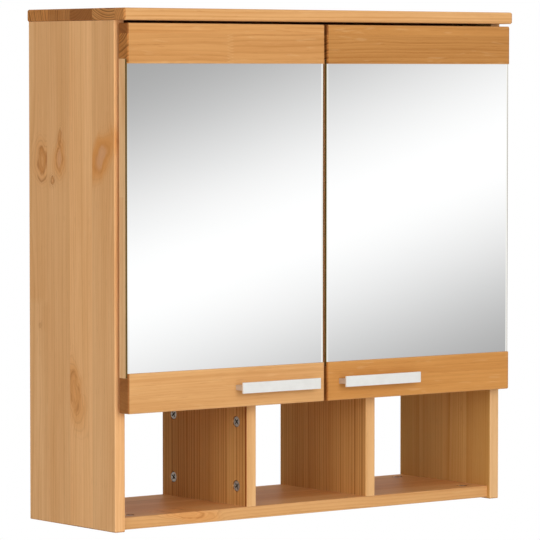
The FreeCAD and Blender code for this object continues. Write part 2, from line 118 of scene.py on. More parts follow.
class Field:
    """A value that changes over a surface, made by nodes and calculated with like a number."""

    def __init__(self, socket):
        self.socket = socket

    @property
    def tree(self):
        return self.socket.id_data

    def math(self, operation, *others):
        inputs = dict(enumerate((self, *others)))
        return Field(add(self.tree, "ShaderNodeMath", inputs, operation=operation).outputs[0])

    def __add__(self, other):
        return self.math("ADD", other)

    def __sub__(self, other):
        return self.math("SUBTRACT", other)

    def __mul__(self, other):
        return self.math("MULTIPLY", other)

    def __truediv__(self, other):
        return self.math("DIVIDE", other)

    def __pow__(self, other):
        return self.math("POWER", other)

    def floor(self):
        return self.math("FLOOR")

    def part(self):
        return self.math("FRACT")

    def size(self):
        return self.math("ABSOLUTE")

    def least(self, other):
        return self.math("MINIMUM", other)

    def most(self, other):
        return self.math("MAXIMUM", other)

    def rest(self):
        """What is missing to 1."""
        return self * -1.0 + 1.0

    def ramp(self, low, high, start=0.0, end=1.0):
        """Smooth change from start at low to end at high."""
        inputs = {"Value": self, "From Min": low, "From Max": high, "To Min": start, "To Max": end}
        node = add(self.tree, "ShaderNodeMapRange", inputs, interpolation_type="SMOOTHSTEP")
        return Field(node.outputs["Result"])

    def combine(self, operation, other):
        """Vector sum, product and so on."""
        inputs = {0: self, 1: other}
        return Field(add(self.tree, "ShaderNodeVectorMath", inputs, operation=operation).outputs[0])

    def scaled(self, x, y, z):
        return self.combine("MULTIPLY", (x, y, z))

    def toward(self, direction):
        """Share of a vector along a direction."""
        inputs = {0: self, 1: direction}
        node = add(self.tree, "ShaderNodeVectorMath", inputs, operation="DOT_PRODUCT")
        return Field(node.outputs["Value"])

    def split(self):
        node = add(self.tree, "ShaderNodeSeparateXYZ", {0: self})
        return [Field(socket) for socket in node.outputs]


def feed(socket, value):
    """Links a socket to a field, or sets it to a constant."""
    if isinstance(value, Field):
        socket.id_data.links.new(value.socket, socket)
    else:
        socket.default_value = value


def add(tree, kind, inputs=None, **settings):
    """Adds a node with its settings and what goes into its sockets."""
    node = tree.nodes.new(kind)
    for key, value in settings.items():
        setattr(node, key, value)
    for key, value in (inputs or {}).items():
        feed(node.inputs[key], value)
    return node


def vector(x, y, z):
    """One vector from three fields or numbers."""
    tree = next(part.tree for part in (x, y, z) if isinstance(part, Field))
    return Field(add(tree, "ShaderNodeCombineXYZ", {0: x, 1: y, 2: z}).outputs[0])


def noise(place, scale=1.0, detail=2.0):
    """Soft random value from 0 to 1."""
    inputs = {"Vector": place, "Scale": scale, "Detail": detail}
    return Field(add(place.tree, "ShaderNodeTexNoise", inputs).outputs["Fac"])


def chances(place):
    """Three random numbers for each whole-numbered place."""
    node = add(place.tree, "ShaderNodeTexWhiteNoise", {"Vector": place}, noise_dimensions="3D")
    return Field(node.outputs["Color"])


def blend(share, first, second):
    """Mix of two colours."""
    node = add(share.tree, "ShaderNodeMix", data_type="RGBA", clamp_factor=True)
    colours = [socket for socket in node.inputs if socket.type == "RGBA"]
    feed(node.inputs[0], share)
    feed(colours[0], first)
    feed(colours[1], second)
    return Field(next(socket for socket in node.outputs if socket.type == "RGBA"))


def dim(colour, amount):
    """Colour times a value that changes over the surface."""
    inputs = {0: colour, "Scale": amount}
    node = add(colour.tree, "ShaderNodeVectorMath", inputs, operation="SCALE")
    return Field(node.outputs[0])


def new_group(name, inputs, outputs):
    """Shader node group with named sockets: the tree, its input fields and its output node."""
    tree = bpy.data.node_groups.new(name, "ShaderNodeTree")
    for label, kind in inputs.items():
        tree.interface.new_socket(label, in_out="INPUT", socket_type="NodeSocket" + kind)
    for label, kind in outputs.items():
        tree.interface.new_socket(label, in_out="OUTPUT", socket_type="NodeSocket" + kind)
    source = tree.nodes.new("NodeGroupInput")
    result = tree.nodes.new("NodeGroupOutput")
    return tree, {label: Field(source.outputs[label]) for label in inputs}, result


def use_group(tree, group, inputs):
    """Places a group in a material and gives its outputs as fields."""
    node = tree.nodes.new("ShaderNodeGroup")
    node.node_tree = group
    for label, value in inputs.items():
        feed(node.inputs[label], value)
    return {socket.name: Field(socket) for socket in node.outputs}


def new_material(name):
    """Material and its surface shader."""
    material = bpy.data.materials.new(name)
    material.use_nodes = True
    return material, material.node_tree.nodes["Principled BSDF"]


def place_on(material):
    """The piece's own coordinates, in metres."""
    return Field(add(material.node_tree, "ShaderNodeTexCoord").outputs["Object"])


def facing(material, direction):
    """How far the surface faces a direction: 1 straight towards it, -1 straight away."""
    normal = add(material.node_tree, "ShaderNodeTexCoord").outputs["Normal"]
    return Field(normal).toward(direction)


def dress(surface, colour, roughness, metallic=0.0):
    """Gives a surface its colour and gloss."""
    feed(surface.inputs["Base Color"], colour)
    feed(surface.inputs["Roughness"], roughness)
    feed(surface.inputs["Metallic"], metallic)


def add_relief(surface, height, depth, strength=0.5):
    """Makes the surface look raised where a height is large."""
    inputs = {"Height": height, "Distance": depth, "Strength": strength}
    bump = add(surface.id_data, "ShaderNodeBump", inputs)
    feed(surface.inputs["Normal"], Field(bump.outputs["Normal"]))


def paint(material, *names):
    """Gives these nodes of the frame a material."""
    for name in names:
        nodes[name].material_slots[0].material = material


# Pine: staves side by side, with glue lines between them and finger joints along them
FINGER_PITCH = 3.8 * MM
FINGER_DEPTH = 10.0 * MM
FINGER_MARK = 2.4 * MM
GLUE_LINE = 0.35 * MM
NEXT_STAVE = 0.382

# Year rings: where a stave's pith may lie, how the rings wander, and how their late wood darkens
PITH_SWING = 2.9
PITH_NEAREST = 40 * MM
PITH_SPREAD = 50 * MM
TRUNK_TAPER = 0.022
CHANCE_SPREAD = 9.0
WANDER_SCALE = (11.0, 11.0, 2.6)
CLOUD_SCALE = (40.0, 40.0, 3.0)
RING_RHYTHM = 0.4
RING_UNEVENNESS = 2.8
RHYTHMS_APART = 30.0
RINGS_APART = 50.0
WEAKEST_RING = 0.3
LATE_WOOD_RISE = 2.4
LATE_WOOD_STOP = 0.84
LATE_WOOD_GAIN = 1.6

# Knots: an almond between two arcs, with a wobbling outline and dark lines that come and go
ALMOND_RADIUS = 1.25
ALMOND_OFFSET = 0.75
ALMOND_START = ALMOND_OFFSET / ALMOND_RADIUS
WOBBLE_SCALE = (75.0, 10.0, 45.0)
WOBBLE = 0.9
DRIFT_SCALE = (40.0, 10.0, 28.0)
DRIFT_SHIFT = (5.0, 3.0, 1.0)
DRIFT = 0.8
PATCH_SCALE = (110.0, 10.0, 70.0)
PATCH_EDGE = (0.36, 0.64)
LEAST_PATCH = 0.2
CORE_EDGE = (0.72, 1.08)
RED_RISE = (0.0, 0.8)
LEAST_RED = 0.35
BLUSH_FALL = (0.3, 1.0)
RIM_WIDTH = 0.32
INNER_LINES = 2.3
INNER_LINE_EDGE = (0.5, 0.95)
INNER_SHADE = 0.40
OUTER_LINES = 1.6
OUTER_LINE_EDGE = (0.55, 0.95)
OUTER_DRIFT = 2.0
OUTER_RISE = (0.95, 1.2)
OUTER_FALL = (1.1, 4.0)
OUTER_SHADE = 0.42
CREASE_AT = 1.85
CREASE_WIDTH = 0.34
CREASE_EDGE = (-1.35, -0.95)
SWIRL_FALL = 0.3
HALO_DRIFT = 2.2
HALO_FALL = (0.9, 3.2)

# Fibres, resin canals and flecks: how fine they are across, through and along the board
FINE_FIBRE = (1500.0, 1500.0, 26.0)
COARSE_FIBRE = (340.0, 340.0, 5.0)
COARSE_SHARE = 0.6
CANALS = (900.0, 900.0, 50.0)
CANAL_EDGE = (0.70, 0.80)
FLECKS = (240.0, 240.0, 30.0)
FLECK_SHIFT = (7.0, 7.0, 7.0)
FLECK_EDGE = (0.62, 0.76)

# Painted highlight along the board's edges: how patchy it is, and how far it reaches from the corner
EDGE_HIGHLIGHT_SCALE = 45.0
EDGE_HIGHLIGHT_PATCH = 1.5 * MM
EDGE_HIGHLIGHT_FROM = -2.0 * MM
EDGE_HIGHLIGHT_TO = 0.6 * MM

# Oiled pine: what darkens it, the tones that lie over the plain wood, and the share of each
FIBRE_DARKENING = 0.7
CLOUD_DARKENING = 0.9
PALE_START = 0.55
STAVE_SHADE = 0.98
STAVE_SPREAD = 0.16
HEARTY_FROM = 0.62
HEARTY_SHARE = 0.45
CORE_SHARE = 0.60
HALO_TONE = shade(228, 156, 86)
HALO_SHARE = 0.5
BLUSH_TONE = shade(226, 178, 142)
BLUSH_SHARE = 0.55
FLECK_TONE = shade(250, 216, 164)
FLECK_SHARE = 0.10
FINGER_SHARE = 0.16
STAIN_TONE = shade(154, 78, 14)
RIM_STAIN = 0.46
CANAL_STAIN = 0.12
JOINT_STAIN = 0.14
WEAK_STREAK, STRONG_STREAK = 0.35, 1.5
# Painted shade: the tint that darkens and yellows the faces inside the cabinet and its niches
PAINTED_SHADE_TINT = (0.79, 0.70, 0.44)
END_GRAIN_TINT = (1.0, 0.82, 0.64)
END_TONE = shade(142, 85, 42)
END_RISE = (0.2, 0.9)
END_SHARE = 0.8
END_SHADE = 0.90
WEAK_END_STRIPES, STRONG_END_STRIPES = 0.9, 1.9
# Painted highlight along the edges: its pale tone and its share
EDGE_HIGHLIGHT_TONE = shade(252, 220, 176)
EDGE_HIGHLIGHT_SHARE = 0.06
PINE_ROUGHNESS = 0.42
FIBRE_ROUGHNESS = 0.16
END_ROUGHNESS = 0.16
LATE_WOOD_GLOSS = 0.06
LATE_WOOD_RIDGE = 0.2
FIBRE_RIDGE = 0.4
CANAL_GROOVE = 0.5
JOINT_GROOVE = 0.6
PINE_RELIEF = 0.25 * MM
PINE_SHEEN = 0.08
BROAD_FACE = (0.5, 0.9)
END_FACE = (0.04, 0.30)


def make_stave_layout():
    """Board glued up from staves, each finger-jointed from blocks with chances of their own."""
    tree, given, result = new_group(
        "stave_layout",
        {"Board": "Vector", "Stave Width": "Float", "Block Length": "Float", "Seed": "Float"},
        {"Place": "Vector", "Chance": "Vector", "Joint": "Float", "Finger": "Float"})
    across, depth, along = given["Board"].split()
    count = across / given["Stave Width"]
    stave = count.floor()
    finger = across.math("PINGPONG", FINGER_PITCH / 2) * (2 * FINGER_DEPTH / FINGER_PITCH)
    row = (along + finger) / given["Block Length"] + stave * NEXT_STAVE
    block = row.floor()
    from_glue = ((count.part() - 0.5).size() * -1.0 + 0.5) * given["Stave Width"]
    from_end = ((row.part() - 0.5).size() * -1.0 + 0.5) * given["Block Length"]
    feed(result.inputs["Place"], vector((count - stave - 0.5) * given["Stave Width"], depth, along))
    feed(result.inputs["Chance"], chances(vector(stave, block, given["Seed"])))
    feed(result.inputs["Joint"], from_glue.ramp(0.0, GLUE_LINE, 1.0, 0.0))
    feed(result.inputs["Finger"], from_end.ramp(0.0, FINGER_MARK, 1.0, 0.0))
    return tree


def make_year_rings():
    """Rings of a trunk whose pith lies somewhere beside the stave. A lift bends them round a knot."""
    tree, given, result = new_group(
        "year_rings",
        {"Place": "Vector", "Chance": "Vector", "Ring Spacing": "Float", "Waviness": "Float",
         "Flatness": "Float", "Lift": "Float"},
        {"Late Wood": "Float", "Cloud": "Float"})
    across, depth, along = given["Place"].split()
    first, second, third = given["Chance"].split()
    angle = (first - 0.5) * PITH_SWING * given["Flatness"]
    reach = second * PITH_SPREAD + PITH_NEAREST
    mirrored = (third * CHANCE_SPREAD).part().math("GREATER_THAN", 0.5) * 2.0 - 1.0
    beside = across * mirrored - angle.math("COSINE") * reach
    below = depth - angle.math("SINE") * reach
    spread = given["Chance"].scaled(CHANCE_SPREAD, CHANCE_SPREAD, CHANCE_SPREAD)
    shifted = given["Place"].combine("ADD", spread)
    wander = noise(shifted.scaled(*WANDER_SCALE), detail=3.0) - 0.5
    cloud = noise(shifted.scaled(*CLOUD_SCALE), detail=3.0)
    radius = (beside * beside + below * below).math("SQRT")
    radius = radius + along * (second - 0.5) * TRUNK_TAPER + wander * given["Waviness"]
    rings = radius / given["Ring Spacing"] + given["Lift"]
    rhythm = vector(rings * RING_RHYTHM, third * RHYTHMS_APART, first * RHYTHMS_APART)
    rings = rings + noise(rhythm, detail=1.0) * RING_UNEVENNESS
    ring = vector(rings.floor(), first * RINGS_APART, second * RINGS_APART)
    strength = chances(ring).split()[0] * (1 - WEAKEST_RING) + WEAKEST_RING
    season = rings.part()
    late = (season ** LATE_WOOD_RISE) * season.ramp(LATE_WOOD_STOP, 1.0, 1.0, 0.0)
    feed(result.inputs["Late Wood"], late * strength * LATE_WOOD_GAIN)
    feed(result.inputs["Cloud"], cloud)
    return tree


def make_knot():
    """One almond-shaped knot through a stave. It stops at the stave's glue lines.

    Gives how far it lifts the rings, its red core, its pale heart, its dark lines and its halo.
    Distances count from 0 in its middle to 1 at its rim.
    """
    tree, given, result = new_group(
        "knot",
        {"Board": "Vector", "Stave Width": "Float", "Centre": "Vector", "Reach": "Vector",
         "Swirl": "Float", "Lean": "Float", "Red": "Float", "Pale": "Float", "Lines": "Float",
         "Glow": "Float", "Crease": "Float"},
        {"Lift": "Float", "Core": "Float", "Blush": "Float", "Rim": "Float", "Halo": "Float"})
    board, centre, width = given["Board"], given["Centre"], given["Stave Width"]
    from_stave = (board.split()[0] / width).floor() - (centre.split()[0] / width).floor()
    own_stave = from_stave.size().math("LESS_THAN", 0.5)
    from_centre = board.combine("SUBTRACT", centre).combine("DIVIDE", given["Reach"])
    across, depth, along = from_centre.split()
    wobble = noise(board.scaled(*WOBBLE_SCALE)) - 0.5
    drift = noise(board.scaled(*DRIFT_SCALE).combine("ADD", DRIFT_SHIFT)) - 0.5
    across = across + depth + wobble * WOBBLE
    along = along + across * given["Lean"] + drift * DRIFT
    beside = across.size() * (ALMOND_RADIUS - ALMOND_OFFSET) + ALMOND_OFFSET
    from_arc = (beside * beside + along * along).math("SQRT") / ALMOND_RADIUS
    distance = (from_arc - ALMOND_START) / (1 - ALMOND_START)
    patchy = noise(board.scaled(*PATCH_SCALE)).ramp(*PATCH_EDGE)
    core = distance.ramp(*CORE_EDGE, 1.0, 0.0)
    rim = (distance - 1.0).size().ramp(0.0, RIM_WIDTH, 1.0, 0.0)
    rim = rim * (patchy * (1 - LEAST_PATCH) + LEAST_PATCH)
    inner = (distance * INNER_LINES + wobble).part().ramp(*INNER_LINE_EDGE) * core * INNER_SHADE
    outer = (distance * OUTER_LINES + drift * OUTER_DRIFT).part().ramp(*OUTER_LINE_EDGE)
    outer = outer * distance.ramp(*OUTER_FALL, OUTER_SHADE, 0.0) * distance.ramp(*OUTER_RISE)
    crease = (distance - CREASE_AT).size().ramp(0.0, CREASE_WIDTH, 1.0, 0.0)
    crease = crease * along.ramp(*CREASE_EDGE, 1.0, 0.0)
    lines = rim.most(inner).most(outer) * given["Lines"]
    halo = (distance + drift * HALO_DRIFT).ramp(*HALO_FALL, 1.0, 0.0)
    marks = {"Lift": (distance * distance * -SWIRL_FALL).math("EXPONENT") * given["Swirl"],
             "Core": core * distance.ramp(*RED_RISE, LEAST_RED, 1.0) * given["Red"],
             "Blush": distance.ramp(*BLUSH_FALL, 1.0, 0.0) * given["Pale"],
             "Rim": lines.most(crease * given["Crease"]),
             "Halo": halo * given["Glow"]}
    for label, mark in marks.items():
        feed(result.inputs[label], mark * own_stave)
    return tree


def make_wood_fibre():
    """Fine fibres along the grain, with short dark resin canals and pale flecks between them."""
    tree, given, result = new_group(
        "wood_fibre", {"Board": "Vector"}, {"Fibre": "Float", "Canal": "Float", "Fleck": "Float"})
    board = given["Board"]
    fine = noise(board.scaled(*FINE_FIBRE))
    coarse = noise(board.scaled(*COARSE_FIBRE))
    canal = noise(board.scaled(*CANALS), detail=0.0)
    fleck = noise(board.scaled(*FLECKS).combine("ADD", FLECK_SHIFT), detail=1.0)
    feed(result.inputs["Fibre"], fine * (1 - COARSE_SHARE) + coarse * COARSE_SHARE)
    feed(result.inputs["Canal"], canal.ramp(*CANAL_EDGE))
    feed(result.inputs["Fleck"], fleck.ramp(*FLECK_EDGE))
    return tree


def make_edge_highlight():
    """Where a board's edges get a painted highlight: near two of its faces at once."""
    tree, given, result = new_group(
        "edge_highlight", {"From Middle": "Vector", "Half Size": "Vector"}, {"Edge": "Float"})
    from_middle = given["From Middle"].combine("ABSOLUTE", (0, 0, 0))
    x, y, z = from_middle.combine("SUBTRACT", given["Half Size"]).split()
    second = x.least(y).most(x.most(y).least(z))
    patchy = noise(given["From Middle"], EDGE_HIGHLIGHT_SCALE, 3.0) * EDGE_HIGHLIGHT_PATCH
    feed(result.inputs["Edge"], (second + patchy).ramp(EDGE_HIGHLIGHT_FROM, EDGE_HIGHLIGHT_TO))
    return tree


def make_oiled_pine():
    """Colour, gloss and relief of pine from its rings, fibres, joints, knots and end grain, with
    painted shade on the faces given it and a painted highlight along its edges.
    """
    tree, given, result = new_group(
        "oiled_pine",
        {"Pale": "Color", "Dark": "Color", "Heart": "Color", "Contrast": "Float", "Streak": "Float",
         "Painted Shade": "Float", "Late Wood": "Float", "Cloud": "Float", "Chance": "Vector",
         "Variety": "Float", "Joint": "Float", "Finger": "Float", "Fibre": "Float",
         "Canal": "Float", "Fleck": "Float", "Core": "Float", "Blush": "Float", "Rim": "Float",
         "Halo": "Float", "End": "Float", "Edge": "Float"},
        {"Color": "Color", "Roughness": "Float", "Height": "Float"})
    first, second, third = given["Chance"].split()
    late, fibre, end = given["Late Wood"], given["Fibre"], given["End"]
    stripes = late * given["Contrast"]

    darkness = stripes + fibre * FIBRE_DARKENING + given["Cloud"] * CLOUD_DARKENING - PALE_START
    wood = blend(darkness, given["Pale"], given["Dark"])
    wood = dim(wood, (third - 0.5) * STAVE_SPREAD * given["Variety"] + STAVE_SHADE)
    hearty = second.ramp(HEARTY_FROM, 1.0) * given["Variety"]
    wood = blend(given["Halo"] * HALO_SHARE, wood, HALO_TONE)
    wood = blend(hearty * HEARTY_SHARE + given["Core"] * CORE_SHARE, wood, given["Heart"])
    wood = blend(given["Blush"] * BLUSH_SHARE, wood, BLUSH_TONE)
    wood = blend(given["Fleck"] * FLECK_SHARE + given["Finger"] * FINGER_SHARE, wood, FLECK_TONE)
    stain = given["Rim"] * RIM_STAIN + given["Canal"] * CANAL_STAIN + given["Joint"] * JOINT_STAIN
    streak = late * given["Streak"] * first.ramp(0.0, 1.0, WEAK_STREAK, STRONG_STREAK)
    wood = blend(stain + streak, wood, STAIN_TONE)
    # Painted shade on the broad faces that look into the cabinet and its niches
    wood = blend(given["Painted Shade"], wood, wood.combine("MULTIPLY", PAINTED_SHADE_TINT))

    end_stripes = stripes * first.ramp(0.0, 1.0, WEAK_END_STRIPES, STRONG_END_STRIPES)
    ends = dim(wood.combine("MULTIPLY", END_GRAIN_TINT), end_stripes.rest() * END_SHADE)
    ends = blend(third.ramp(*END_RISE, 0.0, END_SHARE), ends, END_TONE)
    wood = blend(end, wood, ends)
    # Painted highlight: a pale line along the board's edges
    wood = blend(given["Edge"] * end.rest() * EDGE_HIGHLIGHT_SHARE, wood, EDGE_HIGHLIGHT_TONE)

    roughness = fibre * FIBRE_ROUGHNESS + end * END_ROUGHNESS - late * LATE_WOOD_GLOSS
    ridges = late * LATE_WOOD_RIDGE + fibre * FIBRE_RIDGE
    grooves = given["Canal"] * CANAL_GROOVE + given["Joint"] * JOINT_GROOVE
    feed(result.inputs["Color"], wood)
    feed(result.inputs["Roughness"], roughness + PINE_ROUGHNESS)
    feed(result.inputs["Height"], ridges - grooves)
    return tree


STAVES = make_stave_layout()
RINGS = make_year_rings()
KNOT = make_knot()
FIBRE = make_wood_fibre()
# The painted highlight along the boards' edges
EDGE_HIGHLIGHTS = make_edge_highlight()
PINE = make_oiled_pine()

# Pale wood, dark rings and heartwood of each sort of board
PINE_TONES = {
    "sand": (shade(249, 196, 139), shade(216, 149, 84), shade(196, 124, 57)),
    "straw": (shade(238, 184, 124), shade(204, 140, 76), shade(212, 144, 78)),
    "cream": (shade(253, 213, 164), shade(223, 169, 110), shade(213, 155, 90)),
    "oat": (shade(255, 207, 150), shade(230, 168, 110), shade(214, 150, 86)),
    "wheat": (shade(242, 193, 136), shade(207, 148, 86), shade(211, 148, 80)),
    "barley": (shade(228, 175, 116), shade(194, 131, 71), shade(204, 138, 74)),
    "honey": (shade(220, 162, 100), shade(184, 120, 60), shade(194, 126, 62)),
    "gold": (shade(219, 156, 87), shade(184, 117, 53), shade(192, 123, 55)),
    "amber": (shade(206, 146, 82), shade(168, 108, 50), shade(180, 116, 54)),
}


def pine(node, face, grain, glue_at, joint_at=900.0, stave=50.0, block=2000.0, rings=2.6, wave=6.0,
         flat=0.5, contrast=0.5, streak=0.0, painted_shade=0.0, shaded_side=0, variety=1.0, seed=1,
         tone="honey", knots=()):
    """Oiled pine for one board, with its broad face and grain along these axes. Sizes in mm.

    glue_at and joint_at are the places of one glue line across it and one finger joint along it.
    The darkening of the broad faces is painted shade: it darkens and yellows both broad faces, as
    they lie in shade inside the cabinet and its niches, or, with a side of 1 or -1, only the one that
    looks up or down the face's axis.
    """
    material, surface = new_material("pine_" + node)
    tree = material.node_tree
    place = place_on(material)
    depth, along = AXES[face], AXES[grain]
    axes = Matrix((depth.cross(along), depth, along))
    low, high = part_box(node)
    middle = (low + high) / 2
    start = Vector((glue_at * MM * sum(axes[0]), middle.dot(depth), joint_at * MM))
    lay = add(tree, "ShaderNodeMapping", {"Vector": place, "Rotation": axes.to_euler(),
                                          "Location": -start})
    board = Field(lay.outputs[0])
    layout = use_group(tree, STAVES, {"Board": board, "Stave Width": stave * MM,
                                      "Block Length": block * MM, "Seed": seed})
    marks = dict.fromkeys(("Lift", "Core", "Blush", "Rim", "Halo"), 0.0)
    for centre, reach, traits in knots:
        spot = use_group(tree, KNOT, {"Board": board, "Stave Width": stave * MM,
                                      "Centre": axes @ (Vector(centre) * MM) - start,
                                      "Reach": Vector(reach) * MM, **traits})
        marks = {label: spot[label] + marks[label] for label in marks}
    growth = use_group(tree, RINGS, {"Place": layout["Place"], "Chance": layout["Chance"],
                                     "Ring Spacing": rings * MM, "Waviness": wave * MM,
                                     "Flatness": flat, "Lift": marks.pop("Lift")})
    fibre = use_group(tree, FIBRE, {"Board": board})
    from_middle = place.combine("SUBTRACT", middle)
    edges = use_group(tree, EDGE_HIGHLIGHTS, {"From Middle": from_middle, "Half Size": (high - low) / 2})
    upright = facing(material, depth)
    broad = upright.size().ramp(*BROAD_FACE)
    shaded_faces = (upright * shaded_side).ramp(*BROAD_FACE) if shaded_side else broad
    pale, dark, heart = PINE_TONES[tone]
    finish = use_group(tree, PINE, {
        "Pale": pale, "Dark": dark, "Heart": heart, "Contrast": contrast, "Variety": variety,
        "Streak": broad * streak, "Painted Shade": shaded_faces * painted_shade,
        "Chance": layout["Chance"], "Joint": layout["Joint"], "Finger": layout["Finger"],
        "End": facing(material, along).size().ramp(*END_FACE),
        **growth, **fibre, **edges, **marks})
    dress(surface, finish["Color"], finish["Roughness"])
    feed(surface.inputs["Specular IOR Level"], PINE_SHEEN)
    add_relief(surface, finish["Height"], PINE_RELIEF)
    paint(material, node)


# Knots, in mm: on a side panel's outer face, or in the bottom shelf's front edge
KNOT_THROUGH = 300
LEFT_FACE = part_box("left_side_panel")[0].x / MM
RIGHT_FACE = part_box("right_side_panel")[1].x / MM


def knot(centre, width, length, swirl=1.5, lean=0.0, red=0.0, pale=0.0, lines=1.0, glow=0.0,
         crease=0.0, on_edge=False):
    """Knot: its place and size, its pull on the rings, its slant, its colours and its dark lines.

    It goes through the board from one broad face to the other or, on_edge, from edge to edge.
    """
    across, depth = (KNOT_THROUGH, width / 2) if on_edge else (width / 2, KNOT_THROUGH)
    return (centre, (across, depth, length / 2),
            {"Swirl": swirl, "Lean": lean, "Red": red, "Pale": pale, "Lines": lines, "Glow": glow,
             "Crease": crease})


LEFT_SIDE_KNOTS = [
    knot((LEFT_FACE, -30.4, -152), 21, 36, red=1.0, lines=1.1, glow=0.6, crease=1.1),
    knot((LEFT_FACE, -70.6, -150), 14, 32, red=0.2, pale=0.6, lines=0.9, glow=1.2),
    knot((LEFT_FACE, -71.0, -122), 9, 20, swirl=0.6, lean=-0.4, red=0.9),
    knot((LEFT_FACE, -166.5, -146), 32, 36, swirl=2.5, lean=-0.6, red=0.3, pale=0.8, lines=0.35,
         glow=1.9),
    knot((LEFT_FACE, -54.6, -179.5), 8, 11, swirl=0.8, red=1.0, lines=2.6),
    knot((LEFT_FACE, -104.7, -456), 22, 52, swirl=2.5, lean=0.4, red=0.4, lines=0.9, glow=1.2),
    knot((LEFT_FACE, -24.5, -371.5), 5, 8, swirl=0.6, red=0.6, lines=1.2)]
RIGHT_SIDE_KNOTS = [
    knot((RIGHT_FACE, -118, -300), 22, 40, red=0.9, glow=0.4),
    knot((RIGHT_FACE, -60, -400), 16, 32, pale=0.6, glow=0.5)]
SHELF_KNOTS = [knot((-205, -165, -617), 12, 46, swirl=5.0, lean=0.5, glow=1.0, on_edge=True)]

# The side panels' inner faces and both faces of the dividers get painted shade, as they lie inside
# the cabinet and its niches
pine("top_board", "z", "x", -48.6, joint_at=1300, stave=50.2, rings=3.9, wave=5, flat=1.0,
     contrast=0.42, seed=1986, tone="straw")
pine("left_side_panel", "x", "z", -42.2, stave=51.7, rings=4.6, wave=20, flat=0.9, contrast=0.30,
     painted_shade=1.0, shaded_side=1, seed=22078, tone="sand", knots=LEFT_SIDE_KNOTS)
pine("right_side_panel", "x", "z", -42.2, stave=51.7, rings=4.2, wave=9, flat=0.6, painted_shade=1.0,
     shaded_side=-1, seed=8, tone="cream", knots=RIGHT_SIDE_KNOTS)
pine("bottom_shelf", "z", "x", -40, stave=50.2, rings=3.8, flat=0.9, seed=11, tone="barley",
     knots=SHELF_KNOTS)
pine("cabinet_floor", "z", "x", -46, stave=50.2, flat=0.9, seed=12, tone="straw")
pine("left_divider", "x", "z", -164, stave=52, rings=5.0, wave=3, flat=0.15, streak=0.7, painted_shade=0.8,
     seed=2011, tone="wheat")
pine("right_divider", "x", "z", -156, stave=52, rings=4.4, wave=3, flat=0.2, streak=0.5, painted_shade=0.8,
     seed=1495, tone="wheat")
pine("inner_shelf", "z", "x", -52, stave=50.2, flat=0.9, seed=18, tone="straw")
pine("hanging_rail", "y", "x", 10, stave=60, seed=19, tone="straw")
for door, seed, top_tone, bottom_tone, joint_at, variety in (
        ("left", 115, "honey", "barley", -155, 0.5),
        ("right", 136, "amber", "gold", 420, 1.0)):
    pine(door + "_door_top_rail", "y", "x", 13.3, joint_at=joint_at, rings=5.2, wave=18,
         contrast=0.40, variety=variety, seed=seed, tone=top_tone)
    pine(door + "_door_bottom_rail", "y", "x", -448, stave=60, rings=4.4, wave=9, contrast=0.22,
         variety=0.5, seed=seed + 1, tone=bottom_tone)
    pine(door + "_door_panel", "y", "z", -325, joint_at=-194, block=520, seed=seed + 2, tone="oat")


# Worked metal: how brush lines and handling marks mix its tones, change its gloss and stand out
HANDLING_SCALE = 90.0
BRUSH_TONE = 0.6
HANDLING_TONE = 0.8
BRIGHT_START = 0.3
BRUSH_ROUGHNESS = 0.18
HANDLING_ROUGHNESS = 0.14
BRUSH_RELIEF = 0.03 * MM
BRUSH_STRENGTH = 0.25

# How far a finish's own grain, or its dust and paint, change its roughness
GRAIN_ROUGHNESS = 0.2
DUST_ROUGHNESS = 0.3

# Plywood: the veneer's figure and fibres, and the plies
VENEER_TONES = shade(236, 197, 148), shade(206, 156, 102)
VENEER_WANDER = (7.0, 7.0, 1.1)
FIGURE_BENDS = 34.0
FIGURE_LINES = 30.0
FIGURE_RISE = (0.35, 0.95)
FIGURE_FALL = (0.95, 1.0)
FIGURE_SHARE = 0.45
VENEER_FIBRE = 0.6
VENEER_START = 0.2
PLY_TONES = shade(168, 120, 76), shade(218, 180, 134)
PLY_THICKNESS = 1.0 * MM
PLY_EDGE = (0.25, 0.45)
CUT_EDGE = (0.4, 0.7)
PLYWOOD_ROUGHNESS = 0.5
VENEER_RELIEF = 0.2 * MM

# Beech dowels
BEECH_TONES = shade(222, 180, 140), shade(176, 124, 84)
BEECH_FLECKS = 900.0
BEECH_FLECK_EDGE = (0.58, 0.7)
BEECH_CLOUDS = 200.0
BEECH_ROUGHNESS = 0.5
BEECH_RELIEF = 0.1 * MM

# Silicone bumpers
SILICONE_TONES = shade(226, 226, 220), shade(186, 184, 176)
DUST_SCALE = 900.0
SILICONE_ROUGHNESS = 0.25
SILICONE_MILKINESS = 0.2
SILICONE_DEPTH = 2 * MM
DUST_RELIEF = 0.05 * MM


def make_brushing():
    """Fine parallel brush lines, and the soft cloudy marks of handling."""
    tree, given, result = new_group(
        "brushing", {"Place": "Vector", "Lines": "Vector"},
        {"Brush": "Float", "Handling": "Float"})
    feed(result.inputs["Brush"], noise(given["Place"].combine("MULTIPLY", given["Lines"])))
    feed(result.inputs["Handling"], noise(given["Place"], HANDLING_SCALE, 3.0))
    return tree


BRUSHING = make_brushing()


def metal(name, bright, dark, metallic, roughness, lines):
    """Worked metal: two tones, its gloss and how fine it is brushed along each axis."""
    material, surface = new_material(name)
    marks = use_group(material.node_tree, BRUSHING, {"Place": place_on(material), "Lines": lines})
    brush, handling = marks["Brush"], marks["Handling"]
    tone = brush * BRUSH_TONE + handling * HANDLING_TONE - BRIGHT_START
    least = roughness - (BRUSH_ROUGHNESS + HANDLING_ROUGHNESS) / 2
    gloss = brush * BRUSH_ROUGHNESS + handling * HANDLING_ROUGHNESS + least
    dress(surface, blend(tone, bright, dark), gloss, metallic)
    add_relief(surface, brush, BRUSH_RELIEF, BRUSH_STRENGTH)
    return material


